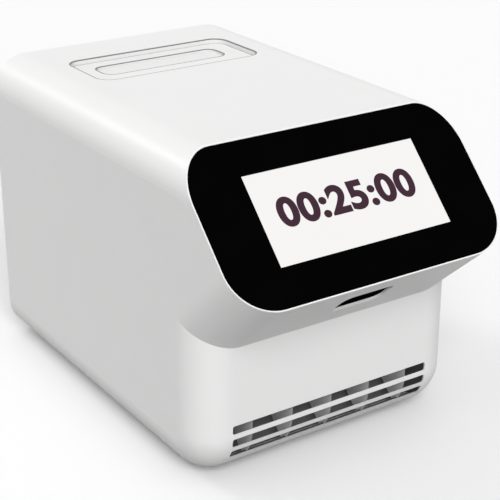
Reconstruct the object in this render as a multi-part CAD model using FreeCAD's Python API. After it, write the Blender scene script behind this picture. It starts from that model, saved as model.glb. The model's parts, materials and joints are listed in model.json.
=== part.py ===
import FreeCAD, Part

import math
import os

# Rapid test reader for a bench: a rounded box with a slanted display at its upper front,
# a flapped cartridge chute in its top and a fan and sockets at its back.
# Millimetres. The front faces -Y, +X is right, it stands on z = 0, and the origin is
# under the middle of its outline.

Vector = FreeCAD.Vector
QUARTER = 90.0              # degrees in a quarter turn

# Body
width = 176.0
depth = 279.4
height = 186.0              # of the housing, without its feet
display_reach = 65.6        # from the display's top edge forward to the nose
display_drop = 67.4         # from the display's top edge down to the nose
chin_reach = 42.0           # from the nose back to the lower front wall
chin_drop = 37.7            # from the nose down to the lower front wall
edge_radius = 22.0          # the four long edges
corner_radius = 21.0        # the upright corners beside the lower front wall
toe_radius = 28.0           # where the front wall turns under
chin_radius = 26.0          # the side edges of the chin
wall = 2.6

# Shared fits
overrun = 6.0               # how far a cutting tool runs past what it cuts
loose = 0.3                 # between a piece and the opening that it drops into
running = 0.05              # radial, between a shaft and its bore
seat_gap = 0.2              # between a liner and the curved wall that it follows

# Feet
foot_height = 2.0
foot_radius = 7.5
foot_edge = 0.6
foot_stem_radius = 3.0
foot_inset_x = 30.0         # from the side of the housing
foot_inset_front = 38.0     # from the lower front wall
foot_inset_rear = 20.0      # from the rear

# Display
rim = 0.75                  # housing left round the glass
rim_gap = 0.15
glass_thickness = 1.8
gasket_thickness = 0.4
gasket_width = 5.0
ledge = 2.6                 # housing behind the gasket
screen_side = 32.8          # from the housing's side to the screen
screen_height = 51.4
screen_rise = 21.7          # from the nose up the slope to the screen
screen_gap = 0.15
screen_sink = 0.1           # the screen lies this far under the glass
module_margin = 5.3         # beside the screen
module_height = 64.0
module_thickness = 4.4
module_rise = 15.0
module_edge = 2.0
bracket_sheet = 1.2
bracket_ear = 12.0
stake_radius = 1.5          # the heat stakes that hold the bracket and the chute
stake_head = 0.8
stake_inset = 5.0
display_board_inset = 12.5  # from the module's side to its board
display_board_height = 46.0
display_chip = 15.0
display_chip_places = (-24.0, 12.0)
board_thickness = 1.6
display_board_standoff = 5.0

# Scanner behind the chin
scan_width = 33.0
scan_height = 20.6
scan_rise = 20.4            # from the lower front wall along the chin
scan_radius = 5.6
scan_wall = 1.5             # the housing's wall round the opening
scan_window_margin = 3.0
scan_window_thickness = 1.5
scanner_width = 26.0
scanner_height = 17.0
scanner_depth = 16.0
scanner_lens_radius = 3.2
scanner_lens_length = 2.2
scanner_plate = 1.2
scanner_tab = 9.0

# Intake slots low on the front
vent_side = 21.3            # from the housing's side to a slot's end
vent_height = 5.0
vent_pitch = 8.1
vent_count = 3
vent_first_rise = 4.0       # centre of the top slot above the start of the toe
vent_radius = 1.2
vent_fall = 27.0            # degrees that the slots run down as they go in
vent_run = 9.5              # how far in the slots are cut
vent_wall = 1.0             # the housing's wall round the slots
vent_wall_margin = 2.0      # how far the thin wall reaches past the slots
duct_height = 41.0
duct_depth = 26.0
duct_sheet = 1.5
duct_side = 3.0             # from a slot's end to the duct's wall
duct_floor_start = 16.0
duct_outlet_rise = 24.0
duct_outlet_drop = 5.0      # from the duct's top to its outlets
rib_count = 5
rib_side = 12.9             # from a slot's end to the nearest rib
rib_thickness = 1.6
rib_edge = 0.5              # a rib's thickness at its front edge
rib_depth = 23.5
rib_slant_rise = 21.5       # height where a rib's rear edge starts to slant forward
rib_rail = 1.6
speaker_width = 58.0
speaker_height = 26.0
speaker_depth = 9.0
speaker_corner = 8.5
speaker_rise = 12.0
speaker_magnet_radius = 9.0
speaker_magnet_depth = 5.0

# Recess, slot and flap in the top
recess_width = 110.0
recess_length = 48.8
recess_margin = 35.0        # from the recess to the rear of the housing
recess_radius = 9.0
recess_depth = 3.0
recess_edge = 0.6           # the eased edge of the recess
slot_width = 84.0
slot_length = 19.0
slot_margin = 10.8          # from the slot to the rear of the recess
slot_radius = 6.0
slot_edge = 0.4             # the eased edges of the slot and of the scanner's opening
flap_sink = 1.5             # from the recess floor down to the flap
flap_thickness = 2.0
flap_gap = 0.25
flap_front_gap = 0.5
flap_rib = 1.2
hinge_sink = 5.1            # from the recess floor down to the hinge line
hinge_setback = 0.5         # from the slot's rear edge back to the hinge line
knuckle_radius = 2.0
knuckle_length = 5.0
knuckle_inset = 1.0
pin_radius = 1.0
spring_radius = 1.35        # to the middle of the wire
spring_wire = 0.4
spring_turns = 6
spring_length = 5.4
spring_leg = 9.0

# Cartridge chute
chute_wall = 2.0
pocket_side = 0.5           # room beside the flap's path
pocket_rear = 2.6           # room behind the hinge line
pocket_depth = 24.4         # from the housing down to the step under the hanging flap
guide_width = 82.0
guide_rear_step = 3.4       # the guide's rear wall stands under the hanging flap
seat_depth = 104.4          # from the housing's ceiling down to where a cartridge stands
chute_flange = 7.0
chute_flange_thickness = 2.5
chute_window_width = 18.0
chute_window_height = 12.0
optics_rise = 32.0          # from the seat up to the optical axis
optics_width = 46.0
optics_height = 36.0
optics_depth = 30.0
optics_edge = 2.0
optics_bore = 6.0
lens_thickness = 4.0
lens_gap = 0.1
camera_size = 32.0
heater_width = 72.0
heater_height = 42.0
heater_base = 3.0
heater_rise = 6.0           # above the seat
heater_fins = 9
heater_fin_depth = 5.0
heater_fin_thickness = 1.6

# Reader frame, tray and boards
sheet = 1.5
frame_side = 4.0            # from the tray's side to the frame's legs
frame_front = 22.0          # shelf in front of the slot
frame_rear = 14.0           # shelf behind the slot
frame_foot = 10.0
frame_window_margin = 14.0
tray_side = 2.0             # from the housing's lower rounding to the tray
tray_flange = 10.0
tray_front = 32.0           # from the lower front wall
tray_rear_gap = 1.5
standoff_height = 8.0
standoff_radius = 3.0
standoff_inset = 9.0
main_side = 9.0             # from the tray's side to the main board
main_front = 51.0           # from the lower front wall
main_rear_gap = 1.0
sink_size = 40.0
sink_base = 3.0
sink_fin_height = 11.0
sink_fins = 9
sink_fin_thickness = 1.4
sink_place_share = 0.2      # of the main board's length, from its front
chip_height = 1.6
chip_share = 0.7            # the processor's side as a share of its heat sink's
memory_size = 13.0
power_width = 44.0
power_length = 34.0
power_height = 16.0
power_place_share = 0.6     # of the main board's length, from its front
power_edge = 2.0
ribbon_inset = 25.0         # from the main board's side to the ribbon's middle
ribbon_width = 20.0
ribbon_thickness = 0.4
ribbon_plug = 5.0
ribbon_plug_height = 2.5
ribbon_run = 14.0           # straight out of each plug

# Rear panel and what it carries
panel_recess = 4.5          # from the housing's rear edge to the panel
panel_thickness = 2.5
post_radius = 4.6
post_length = 14.0
post_bite = 0.8             # how far a post sinks into the housing's corner
screw_radius = 1.5
screw_head_radius = 2.8
screw_head_height = 1.8
screw_length = 9.0
screw_end_gap = 1.0
fan_size = 60.0
fan_depth = 15.0
fan_corner = 4.0
fan_bore = 28.2
fan_x = -28.0
fan_drop = 70.0             # from the top of the housing to the fan's axis
fan_hole_spacing = 50.0
fan_hole_radius = 2.15
fan_stator_radius = 11.0
fan_stator_depth = 3.0
fan_strut = 3.0
fan_struts = 3
fan_hub_radius = 12.5
fan_hub_depth = 9.5
fan_hub_wall = 1.2
fan_blades = 7
fan_tip_gap = 0.8
fan_blade_thickness = 1.1
fan_blade_reach = 8.4       # along the fan's axis
root_share = 0.7            # how far a blade's root stands in the hub's wall
fan_screw_radius = 2.0
fan_screw_head = 3.6
fan_root_angle = 48.0       # degrees from the fan's plane
fan_tip_angle = 28.0
fan_shaft_radius = 1.5
fan_end_gap = 1.0
guard_thickness = 1.2
guard_rings = 4
guard_ring_width = 1.6
guard_spoke = 2.2
guard_boss_radius = 6.0
guard_ear_radius = 4.2
switch_side = 36.0          # from the housing's side to the switch's middle
switch_z = 62.0
switch_width = 13.0
switch_height = 19.0
switch_bezel = 1.4
switch_bezel_lip = 2.0
switch_body_depth = 16.0
switch_wall = 1.0
rocker_gap = 0.4
rocker_taper = 0.7          # the rocker's ends lean in, so that they clear the case as it tilts
rocker_tilt = 9.0           # degrees, each way from level
rocker_rise = 1.5           # ends above the bezel when level
rocker_pivot_sink = 3.4     # from the bezel's face to the pivot
rocker_pin_radius = 1.2
rocker_depth = 6.4
jack_inset = 11.0           # from the main board's side to the inlet's middle
jack_width = 11.0
jack_height = 11.0
jack_depth = 14.0
jack_bore = 3.2
jack_pin = 1.0
jack_bore_depth = 9.5
usb_step = 30.0             # from the inlet's middle
usb_width = 14.4
usb_height = 7.0
usb_depth = 14.0
usb_wall = 0.6
usb_tongue = 1.8
lan_step = 32.0             # from the data socket's middle
lan_width = 16.0
lan_height = 13.6
lan_depth = 18.0
lan_wall = 1.8
lan_floor = 2.4
lan_notch = 5.2
socket_entry = 1.0          # how far the sockets reach into the panel's cut-outs
tray_screw_inset = 20.0     # from the tray's side
tray_screw_inset_front = 48.0
tray_screw_inset_rear = 36.0

# Places that follow from the sizes above
nose_y = -depth / 2
rear_y = depth / 2
front_y = nose_y + chin_reach
brow_y = nose_y + display_reach
base_z = foot_height
top_z = base_z + height
nose_z = top_z - display_drop
chin_z = nose_z - chin_drop
display_length = math.hypot(display_reach, display_drop)
chin_length = math.hypot(chin_reach, chin_drop)
display_angle = math.degrees(math.atan2(display_drop, display_reach))
chin_angle = math.degrees(math.atan2(chin_drop, -chin_reach))
inside_z = base_z + wall
recess_z = top_z - recess_depth
ceiling_z = recess_z - wall
recess_y = (rear_y - recess_margin - recess_length, rear_y - recess_margin)
slot_rear = recess_y[1] - slot_margin
slot_front = slot_rear - slot_length
hinge_y = slot_rear + hinge_setback
hinge_z = recess_z - hinge_sink
panel_y = rear_y - panel_recess
panel_inside = panel_y - panel_thickness
screen_width = width - 2 * screen_side
module_width = screen_width + 2 * module_margin
display_board_width = module_width - 2 * display_board_inset
vent_width = width - 2 * vent_side
rib_first_x = -vent_width / 2 + rib_side
rib_pitch = (vent_width - 2 * rib_side - rib_thickness) / (rib_count - 1)
vent_top_z = base_z + toe_radius + vent_first_rise + vent_height / 2
vent_last_turn = ((vent_count - 1) * vent_pitch - vent_first_rise + vent_height / 2) / toe_radius
vent_low_z = base_z + toe_radius * (1 - math.sin(vent_last_turn))
scan_window_back = -scan_wall - scan_window_thickness
seat_z = ceiling_z - seat_depth
optics_z = seat_z + optics_rise
heater_z = seat_z + heater_rise
pocket_half = slot_width / 2 + pocket_side
pocket_front = slot_front - pocket_side
pocket_back = hinge_y + pocket_rear
step_z = ceiling_z - pocket_depth
guide_back = slot_rear - guide_rear_step
tray_z = inside_z + sheet
board_z = tray_z + standoff_height
board_top = board_z + board_thickness
module_back = -(glass_thickness + module_thickness)
ledge_back = -(glass_thickness + gasket_thickness + ledge)
sink_z = board_top + chip_height
tray_half = width / 2 - edge_radius - tray_side
frame_half = tray_half - frame_side
main_half = tray_half - main_side
main_y = (front_y + main_front, panel_inside - main_rear_gap)
sink_y = main_y[0] + sink_place_share * (main_y[1] - main_y[0])
power_y = main_y[0] + power_place_share * (main_y[1] - main_y[0])
tray_screw_x = tray_half - tray_screw_inset
ribbon_x = main_half - ribbon_inset
fan_z = top_z - fan_drop
switch_x = width / 2 - switch_side
jack_x = -main_half + jack_inset
usb_x = jack_x + usb_step
lan_x = usb_x + lan_step
ribbon_end_z = board_top + ribbon_plug_height
socket_face = panel_inside + socket_entry
rocker_y = panel_y + switch_bezel - rocker_pivot_sink


def about(centre, size):
    """The span of a size centred on a place."""
    return (centre - size / 2, centre + size / 2)


def grown(span, margin):
    """A span made longer at both ends."""
    return (span[0] - margin, span[1] + margin)


def block(x, y, z):
    """A box from three spans."""
    corner = Vector(x[0], y[0], z[0])
    return Part.makeBox(x[1] - x[0], y[1] - y[0], z[1] - z[0], corner)


def edges_along(shape, axis):
    """The edges of a box that run along X, Y or Z, given as 0, 1 or 2."""
    ends = [(edge, edge.firstVertex().Point, edge.lastVertex().Point) for edge in shape.Edges]
    return [edge for edge, first, last in ends if abs(last[axis] - first[axis]) > running]


def rounded_block(x, y, z, radius, axis=2):
    """A box with its four edges along one axis rounded."""
    box = block(x, y, z)
    return box.makeFillet(radius, edges_along(box, axis))


def rod(radius, start, direction, length):
    """A cylinder from a start point."""
    return Part.makeCylinder(radius, length, Vector(*start), Vector(*direction))


def extruded(points, x):
    """A side outline, in (y, z), drawn out across a span of X."""
    corners = [Vector(x[0], y, z) for y, z in points]
    face = Part.Face(Part.makePolygon(corners + corners[:1]))
    return face.extrude(Vector(x[1] - x[0], 0, 0))


def joined(first, *others):
    """Several touching solids made one."""
    return first.multiFuse(list(others)).removeSplitter()


def less(shape, *tools):
    """A solid with each tool cut away."""
    return shape.cut(list(tools))


def solid_of(shape):
    """The one solid in a result."""
    return shape.Solids[0]


def fillet_by(shape, radii):
    """Round several edges at once, each with its own radius, from (edge number, radius)."""
    document = FreeCAD.newDocument("fillet")
    base = document.addObject("Part::Feature", "base")
    base.Shape = shape
    rounded = document.addObject("Part::Fillet", "rounded")
    rounded.Base = base
    rounded.Edges = [(number, radius, radius) for number, radius in radii]
    document.recompute()
    result = solid_of(rounded.Shape.copy())
    FreeCAD.closeDocument(document.Name)
    return result


def on_display(shape):
    """From the display's own frame, x across, y up the slope from the nose, z outward."""
    turn = FreeCAD.Rotation(Vector(1, 0, 0), display_angle)
    placed = shape.copy()
    placed.Placement = FreeCAD.Placement(Vector(0, nose_y, nose_z), turn).multiply(placed.Placement)
    return placed


def chin_frame():
    """The chin's own frame, x across, y from the front wall to the nose, z outward."""
    return FreeCAD.Placement(Vector(0, front_y, chin_z), FreeCAD.Rotation(Vector(1, 0, 0), chin_angle))


def on_chin(shape):
    """A shape placed from the chin's own frame."""
    placed = shape.copy()
    placed.Placement = chin_frame().multiply(placed.Placement)
    return placed


def moved_out(start, end, distance):
    """A side line from start to end, in (y, z), moved towards the right of its run.
    The display's and the chin's lines run down and back, so their right is outside."""
    run_y, run_z = end[0] - start[0], end[1] - start[1]
    length = math.hypot(run_y, run_z)
    shift = (run_z / length * distance, -run_y / length * distance)
    return (start[0] + shift[0], start[1] + shift[1]), (end[0] + shift[0], end[1] + shift[1])


def crossing(first, second):
    """Where two lines meet, in (y, z)."""
    (ay, az), (by, bz) = first
    (cy, cz), (dy, dz) = second
    run, rise, over, up = by - ay, bz - az, dy - cy, dz - cz
    share = ((cy - ay) * up - (cz - az) * over) / (run * up - rise * over)
    return (ay + share * run, az + share * rise)


def extended(line):
    """A side line made longer at both ends by its own length."""
    (ay, az), (by, bz) = line
    return [(ay + ay - by, az + az - bz), (by + by - ay, bz + bz - az)]


def body_form(inset=0.0, face_inset=None, rear_inset=None):
    """The reader's outer form with every face moved inward, and the display face and
    the rear moved by their own amounts where those are given."""
    face_inset = inset if face_inset is None else face_inset
    rear_inset = inset if rear_inset is None else rear_inset
    half = width / 2 - inset
    x = (-half, half)
    y = (front_y + inset, rear_y - rear_inset)
    z = (base_z + inset, top_z - inset)

    box = block(x, y, z)
    radii = []
    for number, edge in enumerate(box.Edges, 1):
        bounds = edge.BoundBox
        at_front = math.isclose(bounds.YMax, y[0], abs_tol=running)
        at_base = math.isclose(bounds.ZMax, z[0], abs_tol=running)
        if bounds.YLength > overrun:
            radii.append((number, edge_radius - inset))
        elif at_front and bounds.ZLength > overrun:
            radii.append((number, corner_radius - inset))
        elif at_front and at_base:
            radii.append((number, toe_radius - inset))
    box = fillet_by(box, radii)

    display = moved_out((brow_y, top_z), (nose_y, nose_z), -face_inset)
    chin = moved_out((nose_y, nose_z), (front_y, chin_z), -inset)
    back = brow_y + edge_radius
    roof = ((back, z[1] + overrun), (brow_y, z[1] + overrun))
    upright = ((front_y + corner_radius, z[0]), (front_y + corner_radius, z[1]))
    foot = crossing(chin, upright)
    outline = [(back, z[1] + overrun), crossing(roof, display), crossing(display, chin), foot, (back, foot[1])]
    head = extruded(outline, grown(x, overrun))
    tube = block(x, (nose_y - overrun, back + overrun), z)
    head = head.common(tube.makeFillet(edge_radius - inset, edges_along(tube, 1)))
    lip = crossing(display, chin)
    radii = []
    for number, edge in enumerate(head.Edges, 1):
        ends = sorted((v.y, v.z) for v in (edge.firstVertex().Point, edge.lastVertex().Point))
        if math.dist(ends[0], lip) < running and math.dist(ends[1], foot) < running:
            radii.append((number, chin_radius - inset))
    head = fillet_by(solid_of(head), radii)

    in_front = extruded(extended(display) + extended(moved_out(*display, height))[::-1], (-width, width))
    return solid_of(joined(box, head).cut(in_front).removeSplitter())


def display_plate(inset, outer, inner):
    """A plate in the display's outline, inset all round, between two depths below it."""
    turn = math.radians(display_angle)
    normal = Vector(0, -math.sin(turn), math.cos(turn))
    for face in body_form(inset, face_inset=0).Faces:
        if face.normalAt(0, 0).isEqual(normal, running):
            start = face.translated(normal * -inner)
            return start.extrude(normal * (inner - outer))
    raise ValueError("the body has no display face")


def screen_block(margin, z):
    """A block over the screen in the display's frame, grown by a margin on each side."""
    x = about(0, screen_width + 2 * margin)
    return block(x, (screen_rise - margin, screen_rise + screen_height + margin), z)


def corner_places(x, first, second):
    """Four places, left and right at two distances."""
    return [(side * x, place) for side in (-1, 1) for place in (first, second)]


def foot_places():
    """Feet, in (x, y)."""
    return corner_places(width / 2 - foot_inset_x, front_y + foot_inset_front, rear_y - foot_inset_rear)


def tray_screw_places():
    """Screws through the floor into the tray, in (x, y)."""
    return corner_places(tray_screw_x, front_y + tray_screw_inset_front, rear_y - tray_screw_inset_rear)


def post_places():
    """The rear panel's screw posts in the housing's corners, in (x, z)."""
    reach = (edge_radius - wall - post_radius + post_bite) / math.sqrt(2)
    across = width / 2 - edge_radius + reach
    return corner_places(across, base_z + edge_radius - reach, top_z - edge_radius + reach)


def fan_hole_places():
    """The fan's corner holes, in (x, z)."""
    half = fan_hole_spacing / 2
    return [(fan_x + x, fan_z + z) for x, z in corner_places(half, -half, half)]


def bracket_stake_places():
    """Stakes for the display bracket, in the display's frame."""
    across = module_width / 2 + loose + bracket_ear / 2
    return corner_places(across, module_rise + bracket_ear, module_rise + module_height - bracket_ear)


def chute_stake_places():
    """Stakes for the chute's flange, in (x, y)."""
    across = pocket_half + chute_wall + chute_flange / 2
    return corner_places(across, pocket_front + stake_inset, pocket_back - stake_inset)


def vent_cutters():
    """The intake slots, evenly spaced down the front wall and the toe, all run in the same way."""
    cutters = []
    for number in range(vent_count):
        rise = vent_first_rise - number * vent_pitch
        straight = max(rise, 0)
        turn = (straight - rise) / toe_radius
        tall = vent_height * math.cos(turn + math.radians(vent_fall))
        cutter = rounded_block(about(0, vent_width), (-overrun, vent_run), about(0, tall), vent_radius, 1)
        cutter.rotate(Vector(), Vector(1, 0, 0), -vent_fall)
        y = front_y + toe_radius * (1 - math.cos(turn))
        z = base_z + toe_radius * (1 - math.sin(turn)) + straight
        cutter.translate(Vector(0, y, z))
        cutters.append(cutter)
    return cutters


def vent_pocket(wall_left, margin):
    """The room behind the thin wall round the slots."""
    x = about(0, vent_width + 2 * margin)
    y = (front_y, front_y + toe_radius)
    return body_form(wall_left).common(block(x, y, (vent_low_z - margin, vent_top_z + margin)))


def eased(shape, edges, radius):
    """A solid with the chosen sharp edges slightly rounded."""
    return solid_of(shape.makeFillet(radius, edges))


def within(value, span):
    """Whether a value lies within a span."""
    return span[0] - running < value < span[1] + running


def edges_in(shape, x, y, z, frame=FreeCAD.Placement()):
    """The edges whose two ends lie within three spans of a frame."""
    back = frame.inverse()
    chosen = []
    for edge in shape.Edges:
        ends = [back.multVec(vertex.Point) for vertex in edge.Vertexes]
        if all(within(end.x, x) and within(end.y, y) and within(end.z, z) for end in ends):
            chosen.append(edge)
    return chosen


def housing():
    """The one-piece moulded shell, open at the back."""
    pocket_depth_below = glass_thickness + gasket_thickness
    shell = less(body_form(), body_form(wall, face_inset=pocket_depth_below + ledge, rear_inset=-overrun))
    across = about(0, recess_width)
    tub_z = (ceiling_z, top_z - wall / 2)
    tub = rounded_block(grown(across, wall), grown(recess_y, wall), tub_z, recess_radius + wall)
    posts = [rod(post_radius, (x, panel_inside, z), (0, -1, 0), post_length) for x, z in post_places()]
    stakes = [
        rod(stake_radius, (x, y, ceiling_z), (0, 0, -1), chute_flange_thickness + stake_head)
        for x, y in chute_stake_places()
    ]
    for x, y in bracket_stake_places():
        stake = rod(stake_radius, (x, y, ledge_back), (0, 0, -1), bracket_sheet + stake_head)
        stakes.append(on_display(stake))
    shell = joined(shell, tub, *posts, *stakes)

    cuts = vent_cutters()
    cuts.append(vent_pocket(vent_wall, vent_wall_margin))
    cuts.append(display_plate(rim, -overrun, pocket_depth_below))
    window_y = (module_rise - loose, module_rise + module_height + loose)
    window_z = (-pocket_depth_below - ledge - overrun, 0)
    cuts.append(on_display(block(about(0, module_width + 2 * loose), window_y, window_z)))
    scan_y = (scan_rise, scan_rise + scan_height)
    cuts.append(on_chin(rounded_block(about(0, scan_width), scan_y, (-wall, overrun), scan_radius)))
    seat = grown(about(0, scan_width), scan_window_margin + loose)
    seat_y = grown(scan_y, scan_window_margin + loose)
    cuts.append(on_chin(rounded_block(seat, seat_y, (-wall - overrun / 2, -scan_wall), scan_radius)))
    cuts.append(rounded_block(across, recess_y, (recess_z, top_z + overrun), recess_radius))
    slot = (about(0, slot_width), (slot_front, slot_rear), (ceiling_z - overrun, top_z))
    cuts.append(rounded_block(*slot, slot_radius))
    for x, z in post_places():
        cuts.append(rod(screw_radius + running, (x, panel_inside, z), (0, -1, 0), screw_length))
    for x, y in foot_places():
        cuts.append(rod(foot_stem_radius + running, (x, y, 0), (0, 0, 1), inside_z + running))
    for x, y in tray_screw_places():
        cuts.append(rod(screw_radius + loose, (x, y, 0), (0, 0, 1), inside_z + running))
    shell = solid_of(less(shell, *cuts))
    shell = eased(shell, edges_in(shell, across, recess_y, (top_z, top_z)), recess_edge)
    slot_edges = edges_in(shell, about(0, slot_width), (slot_front, slot_rear), (recess_z, recess_z))
    shell = eased(shell, slot_edges, slot_edge)
    return eased(shell, edges_in(shell, about(0, scan_width), scan_y, (0, 0), chin_frame()), slot_edge)


def foot(x, y):
    """A rubber foot with a stem up through the floor."""
    disc = rod(foot_radius, (x, y, 0), (0, 0, 1), foot_height)
    disc = disc.makeFillet(foot_edge, [edge for edge in disc.Edges if edge.BoundBox.ZMax < running])
    return joined(disc, rod(foot_stem_radius, (x, y, 0), (0, 0, 1), inside_z))


def display_glass():
    """The black cover glass, with its clear window left open for the screen."""
    plate = display_plate(rim + rim_gap, 0, glass_thickness)
    return solid_of(less(plate, on_display(screen_block(0, (-overrun, overrun)))))


def display_gasket():
    """A foam ring between the glass and the housing's ledge."""
    depths = (glass_thickness, glass_thickness + gasket_thickness)
    ring = display_plate(rim + 2 * rim_gap, *depths)
    return solid_of(less(ring, display_plate(rim + gasket_width, *depths)))


def display_screen():
    """The lit face of the display, filling the glass's window."""
    return on_display(screen_block(-screen_gap, (-glass_thickness, -screen_sink)))


def display_module():
    """The display's own flat case."""
    y = (module_rise, module_rise + module_height)
    return on_display(rounded_block(about(0, module_width), y, (module_back, -glass_thickness), module_edge))


def display_bracket():
    """A pressed tray that holds the display module against the glass."""
    half = module_width / 2 + loose
    y = (module_rise, module_rise + module_height)
    plate_z = (module_back - bracket_sheet, module_back)
    plate = block(about(0, 2 * half), y, plate_z)
    pieces = []
    for side in (-1, 1):
        wall_x = sorted((side * half, side * (half + bracket_sheet)))
        ear_x = sorted((side * half, side * (half + bracket_ear)))
        pieces.append(block(wall_x, y, (plate_z[0], ledge_back)))
        pieces.append(block(ear_x, y, (ledge_back - bracket_sheet, ledge_back)))
    for x, y_place in board_posts():
        post = rod(standoff_radius, (x, y_place, plate_z[0]), (0, 0, -1), display_board_standoff)
        pieces.append(post)
    holes = [
        rod(stake_radius + running, (x, y_place, ledge_back + overrun), (0, 0, -1), 2 * overrun)
        for x, y_place in bracket_stake_places()
    ]
    return on_display(solid_of(less(joined(plate, *pieces), *holes)))


def board_posts():
    """The display board's posts, in the display's frame."""
    centre = module_rise + module_height / 2
    half = display_board_height / 2 - standoff_inset / 2
    return corner_places(display_board_width / 2 - standoff_inset / 2, centre - half, centre + half)


def display_board():
    """The display's driver board with its parts."""
    centre = module_rise + module_height / 2
    front = module_back - bracket_sheet - display_board_standoff
    back = front - board_thickness
    board = block(about(0, display_board_width), about(centre, display_board_height), (back, front))
    parts = [
        block(about(x, display_chip), about(centre, display_chip), (back - chip_height, back))
        for x in display_chip_places
    ]
    plug_x = about(ribbon_x, ribbon_width + 2 * chip_height)
    parts.append(block(plug_x, about(centre, ribbon_plug), (back - ribbon_plug_height, back)))
    return on_display(joined(board, *parts))


def scan_window():
    """The dark window behind the opening in the chin."""
    margin = scan_window_margin
    y = (scan_rise - margin, scan_rise + scan_height + margin)
    z = (scan_window_back, -scan_wall)
    return on_chin(rounded_block(about(0, scan_width + 2 * margin), y, z, scan_radius))


def scanner():
    """The code scanner, a small block with a lens barrel."""
    centre = scan_rise + scan_height / 2
    front = scan_window_back - scanner_lens_length
    body_z = (front - scanner_depth, front)
    body = rounded_block(about(0, scanner_width), about(centre, scanner_height), body_z, chip_height)
    barrel = rod(scanner_lens_radius, (0, centre, front), (0, 0, 1), scanner_lens_length)
    return on_chin(joined(body, barrel))


def scanner_bracket():
    """A bent strap that carries the scanner on the chin's inner face."""
    centre = scan_rise + scan_height / 2
    y = about(centre, scanner_height)
    back = scan_window_back - scanner_lens_length - scanner_depth
    inner = scan_width / 2 + scan_window_margin + loose
    outer = inner + scanner_plate
    strap = block((-outer, outer), y, (back - scanner_plate, back))
    pieces = []
    for side in (-1, 1):
        upright_x = sorted((side * inner, side * outer))
        tab_x = sorted((side * inner, side * (inner + scanner_tab)))
        pieces.append(block(upright_x, y, (back - scanner_plate, -wall)))
        pieces.append(block(tab_x, y, (-wall - scanner_plate, -wall)))
    return on_chin(joined(strap, *pieces))


def vent_duct():
    """The dark air duct behind the intake slots, open towards them."""
    half = vent_width / 2 + duct_side
    y = (front_y, front_y + duct_depth)
    z = (base_z, base_z + duct_height)
    duct = body_form(wall + seat_gap).common(block(about(0, 2 * (half + duct_sheet)), y, z))
    inside_y = (front_y - overrun, y[1] - duct_sheet)
    air = block((-half, half), inside_y, (inside_z + duct_sheet, z[1] - duct_sheet))
    mouth = block((-half, half), (front_y, front_y + duct_floor_start), (base_z, z[1] - duct_sheet))
    cuts = [air, mouth]
    for side in (-1, 1):
        x = sorted((side * (speaker_width / 2 + duct_side), side * (half - duct_side)))
        outlet_z = (z[0] + duct_outlet_rise, z[1] - duct_outlet_drop)
        cuts.append(block(x, (y[1] - overrun, y[1] + overrun), outlet_z))
    return solid_of(less(duct, *cuts))


def vent_ribs():
    """The comb of upright ribs that shows through the slots."""
    top = base_z + duct_height - duct_sheet
    rear = front_y + rib_depth
    outline = [
        (front_y, top),
        (rear, top),
        (rear, base_z + rib_slant_rise),
        (rear - rib_slant_rise, base_z),
        (front_y, base_z),
    ]
    inside = body_form(wall + seat_gap)
    side_on = extruded(outline, about(0, vent_width))
    room = side_on.common(inside.fuse(vent_pocket(vent_wall + seat_gap, vent_wall_margin - seat_gap)))
    ribs = []
    for number in range(rib_count):
        left = rib_first_x + number * rib_pitch
        plan = [(left, front_y), (left, rear), (left + rib_thickness, rear), (left + rib_edge, front_y)]
        corners = [Vector(x, y, base_z) for x, y in plan]
        blade = Part.Face(Part.makePolygon(corners + corners[:1])).extrude(Vector(0, 0, duct_height))
        ribs.append(room.common(blade))
    rail = block(about(0, vent_width), (front_y, rear), (top - rib_rail, top)).common(inside)
    return solid_of(joined(rail, *ribs))


def speaker():
    """A small flat speaker on the back of the air duct."""
    y = (front_y + duct_depth, front_y + duct_depth + speaker_depth)
    z = (base_z + speaker_rise, base_z + speaker_rise + speaker_height)
    body = rounded_block(about(0, speaker_width), y, z, speaker_corner, 1)
    centre_z = sum(z) / 2
    magnet = rod(speaker_magnet_radius, (0, y[1], centre_z), (0, 1, 0), speaker_magnet_depth)
    return joined(body, magnet)


def slot_flap():
    """The dust flap, closed, with the two knuckles that it turns on."""
    x = about(0, slot_width - 2 * flap_gap)
    y = (slot_front + flap_front_gap, slot_rear - flap_gap)
    z = (recess_z - flap_sink - flap_thickness, recess_z - flap_sink)
    plate = rounded_block(x, y, z, slot_radius - flap_gap)
    pieces = []
    for side in (-1, 1):
        outer = slot_width / 2 - knuckle_inset
        start = min(side * outer, side * (outer - knuckle_length))
        pieces.append(rod(knuckle_radius, (start, hinge_y, hinge_z), (1, 0, 0), knuckle_length))
        arm_y = (hinge_y - 2 * knuckle_radius, y[1])
        pieces.append(block((start, start + knuckle_length), arm_y, (hinge_z, z[0])))
    rib_y = about((slot_front + slot_rear) / 2, flap_rib)
    stiffener = block(about(0, slot_width / 2), rib_y, (z[0] - flap_rib, z[0]))
    flap = joined(plate, stiffener, *pieces)
    bore = rod(pin_radius + running, (-width / 2, hinge_y, hinge_z), (1, 0, 0), width)
    return solid_of(less(flap, bore))


def flap_pin():
    """The steel pin of the flap, held in the chute's end walls."""
    half = pocket_half + chute_wall
    return rod(pin_radius, (-half, hinge_y, hinge_z), (1, 0, 0), 2 * half)


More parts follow.
